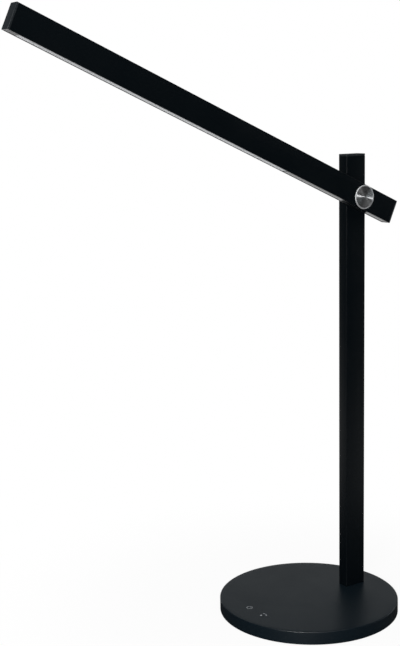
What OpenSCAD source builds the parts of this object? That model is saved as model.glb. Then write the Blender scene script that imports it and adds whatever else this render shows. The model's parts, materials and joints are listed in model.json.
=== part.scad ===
// Folding LED desk lamp: a round weighted base, a square-section post and a bar-shaped
// lamp arm of the same section, joined beside the post by a friction hinge with a stop.
// The origin is on the desk under the middle of the base. The post stands towards +X,
// the arm lies on the post's -Y side and reaches out towards -X.

/* [Base] */
// Diameter of the round base
base_d = 200; // [180:1:230]
// Height of the base's top face above the desk
base_h = 15.2; // [15:0.1:20]
// Thickness of the base cover's top
cover_top_t = 1.8; // [1.4:0.1:2]
// Thickness of the base cover's skirt
skirt_t = 2; // [1.6:0.1:2.6]
// Radius of the base cover's rounded top edge
cover_edge_r = 0.9; // [0.3:0.1:1.3]
// Gap between the skirt's lower edge and the desk
skirt_lift = 1; // [0.6:0.1:1.2]
// Thickness of the soft pad under the base
pad_t = 1.2; // [1.1:0.1:1.8]
// Distance from the base's rim to the pad's edge
pad_inset = 7; // [4:0.5:10]
// Thickness of the bottom plate
bottom_t = 1.5; // [1.2:0.1:1.8]
// Thickness of the steel ballast plate
ballast_t = 7; // [5:0.1:7.4]
// Gap between the ballast plate and the skirt
ballast_gap = 8; // [4:0.5:10]
// Distance from the base's rim to the middle of each base screw
screw_inset = 16; // [15:0.5:20]

/* [Post] */
// Length of the post from the base's top face to its own top
post_len = 493; // [350:1:560]
// Distance from the base's rear edge to the middle of the post
post_inset = 37; // [35:0.5:42]
// Width of the bar section, seen from the side of the lamp
profile_w = 26; // [25:0.5:32]
// Depth of the bar section
profile_d = 13.5; // [13.4:0.1:18]
// Wall thickness of the bar section
profile_wall = 1.3; // [1:0.1:1.5]
// Radius of the bar section's corners
profile_r = 0.6; // [0.3:0.1:0.9]
// Length of the foot block inside the post
foot_len = 28; // [22:1:40]
// Thickness of each end cap's visible plate
cap_plate_t = 2.2; // [1:0.1:3]
// Length of each end cap's plug inside its bar
cap_plug_len = 8; // [5:0.5:12]

/* [Arm] */
// Length of the lamp arm from tip to tail
arm_len = 490; // [340:1:500]
// Angle of the arm above the horizontal
arm_tilt = 24.4; // [0:0.1:44]
// Gap between the post and the arm
arm_gap = 0.6; // [0.4:0.05:1]
// Distance from the hinge axis to the arm's tail and to the post's top
pivot_drop = 46; // [34:1:60]
// Distance from the arm's tail to the seam between the two underside strips
rear_strip_len = 151.5; // [110:0.5:200]
// Width of the open seam between the two underside strips
seam_gap = 1.5; // [0.5:0.1:3]
// Length of the tip cap's tongue that closes the underside
tongue_len = 11.5; // [6:0.5:20]
// How far each bottom lip of the arm reaches inwards
lip_w = 0.8; // [0.6:0.1:1]
// Thickness of the arm's bottom lips
lip_t = 1; // [0.8:0.1:1.3]
// Thickness of the strips' flange above the lips
flange_t = 1; // [0.7:0.1:1.2]
// Depth of the light-emitting diode board above the arm's underside
led_depth = 8.4; // [7.5:0.1:9]
// Thickness of the light-emitting diode board
led_board_t = 1; // [0.8:0.1:1.2]
// Spacing of the light-emitting diodes
led_pitch = 10; // [7:0.5:16]

/* [Hinge] */
// Diameter of the hollow hinge stud
stud_d = 10; // [9:0.1:10.5]
// Bore of the hinge stud, for the lead
stud_bore = 6; // [5:0.1:6.5]
// Wall thickness of the hinge bush
bush_wall = 1.2; // [1:0.1:1.4]
// Length of the hinge bush's sleeve
bush_len = 4.1; // [3.6:0.1:4.3]
// Diameter of the bush's flange between the post and the arm
bush_flange_d = 20; // [17:0.5:22]
// Thickness of the stop washer
stop_t = 1; // [0.8:0.1:1.1]
// Height of the spring washer in place
spring_h = 1; // [0.8:0.1:1.1]
// Thickness of the hinge nut
nut_t = 2.3; // [1.8:0.1:2.4]
// Thickness of the turned cover disc
disc_t = 1.2; // [0.8:0.1:2.5]
// Width of the cover disc's bevel
disc_bevel = 0.9; // [0.3:0.1:1]
// Highest angle of the arm above the horizontal, at the stop
arm_high = 45; // [45:1:80]
// Length of the hinge blocks along their bars
block_len = 32; // [28:1:40]

/* [Electrics] */
// Distance from the base's front edge to the middle of the touch keys
touch_inset = 26.5; // [24:0.5:32]
// Distance between the middles of the two touch keys
touch_pitch = 25; // [20:0.5:32]
// Diameter of each touch pad
touch_pad_d = 12; // [8:0.5:14]
// Thickness of the circuit boards in the base
board_t = 1.2; // [1:0.1:1.4]
// Diameter of the leads
lead_d = 2.4; // [2:0.1:2.6]
// Diameter of the power socket's opening
socket_bore = 6.3; // [6.1:0.1:6.5]
// Diameter of the power socket's centre pin
socket_pin_d = 2; // [1.6:0.1:2.2]

/* [Clearances] */
// Radial clearance of the turning fits
run_gap = 0.05; // [0.02:0.01:0.08]
// Clearance of the pieces that slide into each other on assembly
slip_gap = 0.1; // [0.05:0.01:0.15]
// Clearance of the screws in their holes
screw_gap = 0.2; // [0.1:0.05:0.3]

/* [Hidden] */
$fn = 96;
EPS = 0.01;          // overshoot of a cut through a face
BIG = 400;           // longer than any cut has to be

// Levels of the base
base_r = base_d / 2;
skirt_in_r = base_r - skirt_t;
plate_z = pad_t;                       // underside of the bottom plate
ballast_z = plate_z + bottom_t;        // underside of the ballast
ballast_top = ballast_z + ballast_t;
ceiling_z = base_h - cover_top_t;      // underside of the cover's top
ballast_r = skirt_in_r - ballast_gap;
plate_r = skirt_in_r - 0.2;
pad_r = base_r - pad_inset;

// Base screws
screw_angles = [45, 135, 225, 315];
screw_r = 1.5;
screw_head_r = 2.8;
screw_head_t = 0.9;
screw_len = 8;
boss_r = 3.5;
screw_ring_r = base_r - screw_inset;

// Post
post_x = base_r - post_inset;
post_top = base_h + post_len;
pivot_z = post_top - pivot_drop;
cavity_d = profile_d - 2 * profile_wall;
cavity_w = profile_w - 2 * profile_wall;
bolt_r = 2.5;
bolt_head_r = 4.25;
bolt_head_t = 3;
bolt_grip = 12;                        // length of bolt in the foot block
bolt_pitch = 16;
lead_hole_r = 3;
seat_l = 34;                           // boss under the post, along X
seat_d = 20;                           // and along Y

// Arm
arm_y = -(profile_d + arm_gap);        // middle plane of the arm
tip_x = pivot_drop - arm_len;          // in the arm's own frame, pivot at 0
tail_x = pivot_drop;
under_z = -profile_w / 2;              // underside of the arm
roof_z = profile_w / 2 - profile_wall; // inside of the arm's top wall
seam_x = tail_x - rear_strip_len;
slot_w = cavity_d - 2 * lip_w;         // opening between the lips
strip_top = under_z + lip_t + run_gap + flange_t;
led_z = under_z + led_depth;           // underside of the diode board
rib_w = 0.8;
rib_t = 0.7;
rib_low = led_z - run_gap - rib_t;
rib_high = led_z + led_board_t + slip_gap;
led_l = 3.5;
led_w = 2.8;
led_t = 0.7;
led_x0 = tip_x + cap_plate_t + tongue_len + 4;
led_x1 = seam_x - seam_gap - 3;
led_count = floor((led_x1 - led_x0 - led_l) / led_pitch) + 1;

// Hinge stack, measured outwards from the post's front face
stud_r = stud_d / 2;
flat_h = stud_r - 1;                   // half distance over the stud's two flats
bush_r = stud_r + run_gap + bush_wall;
stop_r = stud_r + 1.8;
tab_r = stop_r + 1.7;
well_r = tab_r + 0.3;
floor_t = arm_gap + bush_len;          // floor of the arm block's well
stop_t0 = floor_t + run_gap;
spring_t0 = stop_t0 + stop_t;
nut_t0 = spring_t0 + spring_h;
stud_t1 = nut_t0 + nut_t;
lead_r = lead_d / 2;
lead_t = stud_t1 + 0.3 + lead_r;       // the lead leaves the stud here
wall_t = arm_gap + profile_d - profile_wall;
stud_in = profile_d / 2 + 2;           // depth of the stud's inner end below the post's face
tab_half = 12;                         // half angle of the stop washer's tab
stop_margin = 1;                       // angle left free at each stop
tab_at = -90;                          // the tab points down

// Electrics
touch_x = -(base_r - touch_inset);
pad_foam_t = 0.8;
touch_board_l = 16;
touch_screw_r = 1;
touch_head_r = 1.8;
touch_head_t = 0.8;
touch_screw_y = (touch_pitch + touch_pad_d) / 2 + 2 * touch_screw_r + 1;
touch_board_w = 2 * (touch_screw_y + 3);
touch_board_z = ceiling_z - pad_foam_t - board_t;
driver_l = 40;
driver_w = 30;
driver_gap = 10;                       // between the driver board and the post's seat
driver_x = post_x - seat_l / 2 - driver_gap - driver_l / 2;
window_gap = 2;
standoff_h = 2;
standoff_r = 2.5;
driver_screw_r = 0.8;
driver_head_r = 1.5;
driver_head_t = 1;
driver_z = ballast_z + standoff_h;
driver_hole_x = driver_l / 2 - 3;
driver_hole_y = driver_w / 2 - 3;
header_l = 4;                          // lead headers on the driver board
header_w = 5;
header_h = 3;
header_x = driver_l / 2 - header_l;    // their middles, from the board's middle
header_y = 8;                          // their outer faces, where the leads enter
part_row = 6;                          // row of the coil and the capacitors, from the board's middle
coil_x = -6;
coil_r = 3.2;
coil_h = 4;
coil_foot = 7;
coil_foot_h = 1;
capacitor_r = 3;
capacitor_h = 5;
capacitor_x = 3;                       // the first one
capacitor_pitch = 7.5;
chips = [[-4, -7, 5, 4, 1.6], [4, -6, 4, 4, 1.2]];    // each chip's corner and size
socket_z = (ballast_z + ceiling_z) / 2;
socket_w = 9;
socket_h = 9.6;
socket_l = 13;
socket_nose_r = 4;
socket_front = base_r - 0.4;
socket_back = skirt_in_r - 0.6 - socket_l;
socket_pin_tip = socket_front - 5;
notch_w = socket_w + 3;

// ---------------------------------------------------------------- frames and helpers

// Puts children at the hinge axis, unturned
module at_pivot() translate([post_x, 0, pivot_z]) children();

// Puts children in the arm's own frame: tip towards -X, hinge axis along Y
module in_arm() at_pivot() rotate([0, arm_tilt, 0]) children();

// Turns a shape that rises along Z so that it points outwards, starting t from the post's face
module outward(t) translate([0, -(profile_d / 2 + t), 0]) rotate([90, 0, 0]) children();

// Extrudes an outline of the bar section along X
module bar_x(x0, x1) translate([x0, 0, 0]) rotate([90, 0, 90]) linear_extrude(x1 - x0) children();

// Points of a quarter arc from angle a0, about c
function quarter(c, r, a0, steps = 4) =
    [for (i = [0:steps]) c + r * [cos(a0 + 90 * i / steps), sin(a0 + 90 * i / steps)]];

// Outline of a rectangle with round corners, centred
module round_rect(w, h, r) {
    cx = w / 2 - r;
    cy = h / 2 - r;
    polygon(concat(quarter([cx, cy], r, 0), quarter([-cx, cy], r, 90),
                   quarter([-cx, -cy], r, 180), quarter([cx, -cy], r, 270)));
}

// A centred rectangle from lower level z0 to upper level z1
module band(w, z0, z1) translate([-w / 2, z0]) square([w, z1 - z0]);

module at_base_screws() for (a = screw_angles) rotate(a) translate([screw_ring_r, 0, 0]) children();
module at_post_bolts() for (s = [-1, 1]) translate([post_x + s * bolt_pitch / 2, 0, 0]) children();
module at_touch_keys() for (s = [-1, 1]) translate([touch_x, s * touch_pitch / 2, 0]) children();
module at_touch_screws() for (s = [-1, 1]) translate([touch_x, s * touch_screw_y, 0]) children();
module at_driver_holes() for (sx = [-1, 1], sy = [-1, 1])
    translate([driver_x + sx * driver_hole_x, sy * driver_hole_y, 0]) children();

// The visible plate of an end cap, its outer edges bevelled, standing on z = 0
module cap_plate(w, d, t) {
    bevel = min(0.5, t / 2);
    intersection() {
        linear_extrude(t) round_rect(w, d, profile_r);
        rotate([90, 0, 0]) linear_extrude(BIG, center = true)
            polygon([[-w / 2, 0], [w / 2, 0], [w / 2, t - bevel], [w / 2 - bevel, t],
                     [-w / 2 + bevel, t], [-w / 2, t - bevel]]);
        rotate([90, 0, 90]) linear_extrude(BIG, center = true)
            polygon([[-d / 2, 0], [d / 2, 0], [d / 2, t - bevel], [d / 2 - bevel, t],
                     [-d / 2 + bevel, t], [-d / 2, t - bevel]]);
    }
}

// A screw with its head below z = 0 and its shank rising from there
module screw_up(r, l, head_r, head_t) {
    translate([0, 0, -head_t]) difference() {
        cylinder(r = head_r, h = head_t);
        translate([0, 0, -EPS]) cylinder(r = head_r * 0.45, h = head_t * 0.5, $fn = 6);
    }
    cylinder(r = r, h = l);
}

// ---------------------------------------------------------------- leads

function unit(v) = v / norm(v);

// Direction of a route at point i
function heading(p, i) = unit(p[min(i + 1, len(p) - 1)] - p[max(i - 1, 0)]);

// A direction square to h
function any_side(h) = unit(cross(h, abs(h[2]) > 0.7 ? [1, 0, 0] : [0, 0, 1]));

// Sideways direction of every ring of a route, carried along it without twist
function sides_of(p) =
    [for (i = 0, s = any_side(heading(p, 0)); i < len(p);
          i = i + 1, s = i < len(p) ? unit(s - (s * heading(p, i)) * heading(p, i)) : s) s];

// A round lead swept along the points of a route
module lead(p, r, sides = 8) {
    n = len(p);
    side = sides_of(p);
    rings = [for (i = [0:n - 1]) let (u = cross(heading(p, i), side[i]))
        for (k = [0:sides - 1]) p[i] + r * (cos(360 * k / sides) * side[i] + sin(360 * k / sides) * u)];
    walls = [for (i = [0:n - 2], k = [0:sides - 1])
        [i * sides + k, i * sides + (k + 1) % sides, (i + 1) * sides + (k + 1) % sides, (i + 1) * sides + k]];
    ends = [[for (k = [sides - 1:-1:0]) k], [for (k = [0:sides - 1]) (n - 1) * sides + k]];
    polyhedron(rings, concat(walls, ends));
}

// Points of a quarter bend of radius r: it starts at p heading along a and ends heading along b
function bend(p, a, b, r, steps = 5) =
    [for (i = [0:steps]) let (w = 90 * i / steps) p + r * (sin(w) * a + (1 - cos(w)) * b)];

// Points from p to q, both left out
function between(p, q, steps) = [for (i = [1:steps - 1]) p + (q - p) * i / steps];

// ---------------------------------------------------------------- base

// Shell of the base: flat top, rounded edge, straight skirt, screw bosses and the post's seat
module base_cover() color([0.10, 0.105, 0.11]) difference() {
    union() {
        rotate_extrude($fn = 180) polygon(concat(
            [[0, ceiling_z], [skirt_in_r, ceiling_z], [skirt_in_r, skirt_lift], [base_r, skirt_lift]],
            quarter([base_r - cover_edge_r, base_h - cover_edge_r], cover_edge_r, 0, 5),
            [[0, base_h]]));
        at_base_screws() translate([0, 0, ballast_z]) cylinder(r = boss_r, h = ceiling_z - ballast_z + EPS);
        translate([post_x - seat_l / 2, -seat_d / 2, ballast_top])
            cube([seat_l, seat_d, ceiling_z - ballast_top + EPS]);
        at_touch_screws() translate([0, 0, ceiling_z - pad_foam_t])
            cylinder(r = 2 * touch_screw_r, h = pad_foam_t + EPS);
    }
    at_base_screws() translate([0, 0, ballast_z - EPS]) cylinder(r = screw_r, h = screw_len);
    at_post_bolts() translate([0, 0, ballast_top - EPS]) cylinder(r = bolt_r + screw_gap, h = BIG);
    translate([post_x, 0, ballast_top - EPS]) cylinder(r = lead_hole_r, h = BIG);
    translate([post_x - lead_hole_r, -seat_d, ballast_top - EPS])
        cube([2 * lead_hole_r, seat_d, lead_d + 1]);
    at_touch_screws() translate([0, 0, ceiling_z - pad_foam_t - EPS])
        cylinder(r = touch_screw_r, h = pad_foam_t + cover_top_t / 2);
    translate([0, 0, socket_z]) rotate([0, 90, 0]) cylinder(r = socket_nose_r + slip_gap, h = BIG);
}

// Steel disc that weighs the base down, with windows for the board, the socket and the screws
module ballast_plate() color([0.45, 0.46, 0.48]) translate([0, 0, ballast_z]) difference() {
    cylinder(r = ballast_r, h = ballast_t, $fn = 180);
    translate([0, 0, -EPS]) {
        at_base_screws() cylinder(r = boss_r + screw_gap, h = BIG);
        at_post_bolts() {
            cylinder(r = bolt_r + screw_gap, h = BIG);
            cylinder(r = bolt_head_r + screw_gap, h = bolt_head_t + 2 * EPS);
        }
        translate([driver_x - driver_l / 2 - window_gap, -driver_w / 2 - window_gap, 0])
            cube([driver_l + 2 * window_gap, driver_w + 2 * window_gap, BIG]);
        translate([socket_back - 1.5, -notch_w / 2, 0]) cube([BIG, notch_w, BIG]);
    }
}

// Moulded plate that closes the base, with standoffs for the driver board
module bottom_plate() color([0.07, 0.07, 0.07]) difference() {
    union() {
        translate([0, 0, plate_z]) cylinder(r = plate_r, h = bottom_t, $fn = 180);
        at_driver_holes() translate([0, 0, ballast_z - EPS]) cylinder(r = standoff_r, h = standoff_h + EPS);
    }
    at_base_screws() translate([0, 0, plate_z - EPS]) cylinder(r = screw_r + screw_gap, h = BIG);
    at_driver_holes() translate([0, 0, ballast_z]) cylinder(r = driver_screw_r, h = BIG);
}

// Soft pad that the lamp stands on, with openings for the screw heads
module foot_pad() color([0.05, 0.05, 0.05]) difference() {
    cylinder(r = pad_r, h = pad_t, $fn = 180);
    at_base_screws() translate([0, 0, -EPS]) cylinder(r = screw_head_r + 1.2, h = BIG);
}

module base_screws() color([0.55, 0.56, 0.58])
    at_base_screws() translate([0, 0, plate_z]) screw_up(screw_r, screw_len - 1, screw_head_r, screw_head_t);

// ---------------------------------------------------------------- touch keys and driver

module touch_board() color([0.05, 0.25, 0.12]) difference() {
    translate([touch_x - touch_board_l / 2, -touch_board_w / 2, touch_board_z])
        cube([touch_board_l, touch_board_w, board_t]);
    at_touch_screws() translate([0, 0, touch_board_z - EPS]) cylinder(r = touch_screw_r + screw_gap, h = BIG);
}

// Springy conductive pads that carry each touch key up to the cover
module touch_pads() color([0.3, 0.3, 0.3])
    at_touch_keys() translate([0, 0, touch_board_z + board_t]) cylinder(r = touch_pad_d / 2, h = pad_foam_t);

module touch_board_screws() color([0.7, 0.7, 0.72]) at_touch_screws()
    translate([0, 0, touch_board_z]) screw_up(touch_screw_r, board_t + pad_foam_t + cover_top_t / 3, touch_head_r, touch_head_t);

module driver_board() color([0.05, 0.25, 0.12]) difference() {
    translate([driver_x - driver_l / 2, -driver_w / 2, driver_z]) cube([driver_l, driver_w, board_t]);
    at_driver_holes() translate([0, 0, driver_z - EPS]) cylinder(r = driver_screw_r + screw_gap, h = BIG);
}

// Coil, capacitors, control chips and lead headers on the driver board
module driver_components() color([0.15, 0.15, 0.16]) translate([driver_x, 0, driver_z + board_t]) {
    translate([coil_x, part_row, 0]) {
        translate([-coil_foot / 2, -coil_foot / 2, 0]) cube([coil_foot, coil_foot, coil_foot_h]);
        cylinder(r = coil_r, h = coil_h);
    }
    for (i = [0, 1]) translate([capacitor_x + i * capacitor_pitch, part_row, 0])
        cylinder(r = capacitor_r, h = capacitor_h);
    for (c = chips) translate([c[0], c[1], 0]) cube([c[2], c[3], c[4]]);
    translate([-header_x - header_l / 2, -header_w / 2, 0]) cube([header_l, header_w, header_h]);
    for (s = [-1, 1]) translate([header_x - header_l / 2, s * (header_y - header_w / 2) - header_w / 2, 0])
        cube([header_l, header_w, header_h]);
}

module driver_screws() color([0.7, 0.7, 0.72]) at_driver_holes() {
    translate([0, 0, driver_z + board_t]) cylinder(r = driver_head_r, h = driver_head_t);
    translate([0, 0, driver_z - standoff_h + driver_screw_r / 2])
        cylinder(r = driver_screw_r, h = standoff_h + board_t - driver_screw_r / 2 + EPS);
}

// Low-voltage power socket: its nose stands in the skirt
module dc_socket() color([0.06, 0.06, 0.06]) translate([0, 0, socket_z]) difference() {
    union() {
        translate([socket_back, -socket_w / 2, -socket_h / 2]) cube([socket_l, socket_w, socket_h]);
        translate([socket_back + 1, 0, 0]) rotate([0, 90, 0])
            cylinder(r = socket_nose_r, h = socket_front - socket_back - 1);
    }
    translate([socket_back + 3, 0, 0]) rotate([0, 90, 0]) cylinder(r = socket_bore / 2, h = BIG);
    translate([socket_back - EPS, 0, 0]) rotate([0, 90, 0]) cylinder(r = socket_pin_d / 2, h = 4);
}

module dc_socket_pin() color([0.75, 0.75, 0.72]) translate([socket_back - 1, 0, socket_z]) rotate([0, 90, 0])
    cylinder(r = socket_pin_d / 2, h = socket_pin_tip - socket_back + 1);

// ---------------------------------------------------------------- leads in the base and the post

lead_stub = 0.3;                                 // straight piece of a lead before its bend
lead_lift = 0.2;                                 // gap between the ballast and the leads that lie on it
lead_bend_r = 4;                                 // radius of the post lead's bend into the hinge
header_z = driver_z + board_t + header_h / 2;    // the power and post leads leave their headers here
lane_z = ballast_top + lead_lift + lead_r;
socket_lane = (post_x + seat_l / 2 + socket_back) / 2;
socket_turn = socket_back - socket_lane - lead_stub;    // radius of the power lead's bend into the socket
touch_edge = touch_x + touch_board_l / 2;        // edge of the touch board, where its lead ends
touch_mid_z = touch_board_z + board_t / 2;
channel_y = profile_d / 2 - profile_wall - 1.9;  // lead's channel in the post's hinge block
channel_z = pivot_z - block_len / 2;             // its lower end

// Points by which a lead leaves its header towards side s and rises to the top of the ballast
function rise(s) = [for (p = [[0, 0, 0], [0, 0.4, 0], [0, 1, 0.25], [0.4, 2, 0.75], [1.6, 3.1, 1]])
    [driver_x + header_x + lead_d * p[0], s * (header_y + lead_d * p[1]),
     header_z + (lane_z - header_z) * p[2]]];

power_route = concat(
    rise(1),
    [[driver_x + driver_l / 2 + 3 * lead_d, seat_d / 2 + 2.4 * lead_d, lane_z],
     [post_x, seat_d / 2 + 1.9 * lead_d, lane_z], [post_x + seat_l / 3, seat_d / 2 + 1.7 * lead_d, lane_z],
     [socket_lane - lead_d, seat_d / 2 + lead_d, lane_z], [socket_lane - 0.2 * lead_d, seat_d / 2, lane_z],
     [socket_lane, seat_d / 2 - 1.25 * lead_d, lane_z]],
    bend([socket_lane, seat_d / 2 - 2.3 * lead_d, lane_z], [0, -1, 0], [1, 0, 0], socket_turn),
    [[socket_back, seat_d / 2 - 2.3 * lead_d - socket_turn, lane_z]]);

touch_turn = lane_z - header_z - header_h / 2 - lead_stub;
touch_far = driver_x - driver_l / 2 - 2.5 * lead_d;
touch_run = touch_edge + 1.25 * lead_d - touch_far;
touch_route = concat(
    [[driver_x - header_x, 0, header_z + header_h / 2]],
    bend([driver_x - header_x, 0, lane_z - touch_turn], [0, 0, 1], [-1, 0, 0], touch_turn),
    [for (f = [0:0.2:1]) [touch_far + f * touch_run, -1.2 * lead_d * sin(180 * f), lane_z]],
    [[touch_edge + 0.4 * lead_d, 0, touch_mid_z], [touch_edge, 0, touch_mid_z]]);

post_route = concat(
    rise(-1),
    [[driver_x + driver_l / 2 + 3 * lead_d, -seat_d / 2 - 2.7 * lead_d, lane_z],
     [post_x - 4.6 * lead_d, -seat_d / 2 - 2.7 * lead_d, lane_z],
     [post_x - 1.7 * lead_d, -seat_d / 2 - 1.9 * lead_d, lane_z],
     [post_x - 0.4 * lead_d, -seat_d / 2 - 0.8 * lead_d, lane_z], [post_x, -seat_d / 2 + 0.4 * lead_d, lane_z]],
    bend([post_x, -seat_d / 4, lane_z], [0, 1, 0], [0, 0, 1], seat_d / 4),
    between([post_x, 0, lane_z + seat_d / 4], [post_x, 0, channel_z - block_len / 2], 12),
    [[post_x, 0, channel_z - block_len / 2], [post_x, channel_y / 2, channel_z - 3.75 * lead_d],
     [post_x, channel_y, channel_z - 0.8 * lead_d]],
    bend([post_x, channel_y, pivot_z - lead_bend_r], [0, 0, 1], [0, -1, 0], lead_bend_r),
    [[post_x, -profile_d / 2, pivot_z]]);

module power_lead() color([0.03, 0.03, 0.03]) lead(power_route, lead_r);
module touch_lead() color([0.75, 0.75, 0.75]) lead(touch_route, lead_r * 0.7);
module post_lead() color([0.85, 0.85, 0.83]) lead(post_route, lead_r);

// ---------------------------------------------------------------- post

module post_foot_block() color([0.6, 0.61, 0.62]) translate([post_x, 0, base_h]) difference() {
    linear_extrude(foot_len) square([cavity_w - 2 * slip_gap, cavity_d - 2 * slip_gap], center = true);
    translate([0, 0, -EPS]) {
        cylinder(r = lead_hole_r, h = BIG);
        for (s = [-1, 1]) translate([s * bolt_pitch / 2, 0, 0]) cylinder(r = bolt_r, h = bolt_grip + 3);
    }
}

module post_bolts() color([0.3, 0.3, 0.31]) at_post_bolts() translate([0, 0, ballast_z + bolt_head_t])
    screw_up(bolt_r, base_h + bolt_grip - ballast_z - bolt_head_t, bolt_head_r, bolt_head_t);

// Extruded post, closed by its cap at the top
module post_tube() color([0.04, 0.045, 0.05]) translate([post_x, 0, 0]) difference() {
    translate([0, 0, base_h]) linear_extrude(post_len - cap_plate_t) difference() {
        round_rect(profile_w, profile_d, profile_r);
        square([cavity_w, cavity_d], center = true);
    }
    translate([0, 0, pivot_z]) outward(-profile_wall - EPS)
        cylinder(r = stud_r + slip_gap, h = profile_wall + 1);
}

module post_top_cap() color([0.035, 0.04, 0.045]) translate([post_x, 0, post_top - cap_plate_t]) {
    cap_plate(profile_w, profile_d, cap_plate_t);
    translate([0, 0, -cap_plug_len]) linear_extrude(cap_plug_len + EPS) difference() {
        square([cavity_w - 2 * slip_gap, cavity_d - 2 * slip_gap], center = true);
        square([cavity_w - 4, cavity_d - 4], center = true);
    }
}

// Block in the post that the hinge stud is screwed into, with a channel for the lead
module post_hinge_block() color([0.6, 0.61, 0.62]) at_pivot() difference() {
    translate([0, 0, -block_len / 2]) linear_extrude(block_len)
        square([cavity_w - 2 * slip_gap, cavity_d - 2 * slip_gap], center = true);
    outward(-stud_in) cylinder(r = stud_r, h = BIG);
    outward(-BIG) cylinder(r = stud_bore / 2, h = BIG);
    translate([0, channel_y, -BIG]) cylinder(r = lead_r + 0.4, h = BIG);
}

// ---------------------------------------------------------------- hinge

// Hollow stud: round in the post and the bush, with two flats for the stop washer and nut
module hinge_stud() color([0.55, 0.56, 0.58]) at_pivot() outward(-stud_in) difference() {
    union() {
        cylinder(r = stud_r, h = stud_in + floor_t);
        intersection() {
            cylinder(r = stud_r, h = stud_in + stud_t1);
            translate([-flat_h, -BIG / 2, 0]) cube([2 * flat_h, BIG, BIG]);
        }
    }
    translate([0, 0, -EPS]) cylinder(r = stud_bore / 2, h = BIG);
}

// Flanged bush that turns with the arm; its flange keeps the arm off the post
module hinge_bush() color([0.9, 0.9, 0.88]) in_arm() outward(run_gap) difference() {
    union() {
        cylinder(r = bush_flange_d / 2, h = arm_gap - run_gap);
        cylinder(r = bush_r, h = floor_t - run_gap);
    }
    translate([0, 0, -EPS]) cylinder(r = stud_r + run_gap, h = BIG);
}

// Washer keyed to the stud's flats; its tab ends the arm's travel
module stop_washer() color([0.65, 0.66, 0.68]) at_pivot() outward(stop_t0) difference() {
    union() {
        cylinder(r = stop_r, h = stop_t);
        rotate(tab_at - tab_half) rotate_extrude(angle = 2 * tab_half) square([tab_r, stop_t]);
    }
    translate([0, 0, -EPS]) intersection() {
        cylinder(r = stud_r + run_gap, h = BIG);
        translate([-flat_h - run_gap, -BIG / 2, 0]) cube([2 * (flat_h + run_gap), BIG, BIG]);
    }
}

// Cone washer that loads the hinge
module spring_washer() color([0.4, 0.41, 0.43]) at_pivot() outward(spring_t0) rotate_extrude()
    polygon([[stud_r + 0.1, spring_h - 0.5], [stud_r + 0.1, spring_h],
             [stop_r - 0.2, 0.5], [stop_r - 0.2, 0]]);

module hinge_nut() color([0.6, 0.61, 0.62]) at_pivot() outward(nut_t0) difference() {
    cylinder(d = (stud_d + 3) / cos(30), h = nut_t, $fn = 6);
    translate([0, 0, -EPS]) cylinder(r = stud_r, h = BIG);
}

// Turned disc that covers the hinge
module hinge_disc() color([0.72, 0.73, 0.74]) in_arm() outward(wall_t - 0.3) {
    plate_t = profile_wall + 0.3;
    bevel = min(disc_bevel, disc_t - 0.2);
    rotate_extrude() polygon([[well_r - run_gap - 1.2, 0], [well_r - run_gap, 0],
        [well_r - run_gap, plate_t], [profile_w / 2, plate_t],
        [profile_w / 2, plate_t + disc_t - bevel], [profile_w / 2 - bevel, plate_t + disc_t],
        [0, plate_t + disc_t], [0, plate_t], [well_r - run_gap - 1.2, plate_t]]);
}

// ---------------------------------------------------------------- arm

// Extruded arm: closed on top, with lips for the strips and ribs for the diode board
module arm_housing() color([0.04, 0.045, 0.05]) in_arm() difference() {
    translate([0, arm_y, 0]) bar_x(tip_x + cap_plate_t, tail_x - cap_plate_t) {
        difference() {
            round_rect(profile_d, profile_w, profile_r);
            band(cavity_d, under_z + lip_t, roof_z);
            band(slot_w, under_z - EPS, under_z + lip_t + EPS);
        }
        for (s = [-1, 1], z = [rib_low, rib_high])
            translate([s * (cavity_d / 2 - (rib_w - 0.2) / 2), z + rib_t / 2])
                square([rib_w + 0.2, rib_t], center = true);
    }
    outward(arm_gap - EPS) cylinder(r = bush_r + run_gap, h = profile_wall + 2 * EPS);
    outward(wall_t - rib_w - EPS) cylinder(r = well_r, h = profile_wall + rib_w + 2 * EPS);
    outward(arm_gap + profile_wall - EPS) cylinder(r = bush_r + run_gap, h = rib_w + 2 * EPS);
}

// Block in the arm that carries the bush; its well holds the washers and the nut
module arm_hinge_block() color([0.6, 0.61, 0.62]) in_arm() difference() {
    translate([0, arm_y, 0]) bar_x(-block_len / 2, block_len / 2) difference() {
        band(cavity_d - 2 * slip_gap, strip_top + 0.3, roof_z - slip_gap);
        for (s = [-1, 1]) translate([s * cavity_d / 2, (rib_low + rib_high + rib_t) / 2])
            square([2 * (rib_w + slip_gap), rib_high - rib_low + rib_t + 2 * slip_gap], center = true);
    }
    outward(0) cylinder(r = bush_r + run_gap, h = BIG);
    outward(floor_t) {
        cylinder(r = stop_r + 0.2, h = BIG);
        rotate(tab_at - 90 - tab_half - stop_margin)
            rotate_extrude(angle = 90 + arm_high + 2 * (tab_half + stop_margin)) square([well_r, stop_t + 0.4]);
        translate([0, 0, stop_t + 0.3]) cylinder(r = well_r, h = BIG);
    }
    outward(lead_t) translate([-block_len, 0, -lead_r - 0.3]) translate([0, -lead_r - 0.5, 0])
        cube([block_len, lead_d + 1, BIG]);
}

// Cross-section of the strips that close the underside: a flange with a face between the lips
module strip_section() {
    band(slot_w - 2 * slip_gap, under_z, strip_top);
    band(cavity_d - 2 * slip_gap, under_z + lip_t + run_gap, strip_top);
}

module diffuser() color([0.86, 0.88, 0.9]) in_arm() translate([0, arm_y, 0])
    bar_x(tip_x + cap_plate_t + tongue_len, seam_x - seam_gap) strip_section();

module rear_strip() color([0.04, 0.045, 0.05]) in_arm() translate([0, arm_y, 0])
    bar_x(seam_x, tail_x - cap_plate_t) strip_section();

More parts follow.
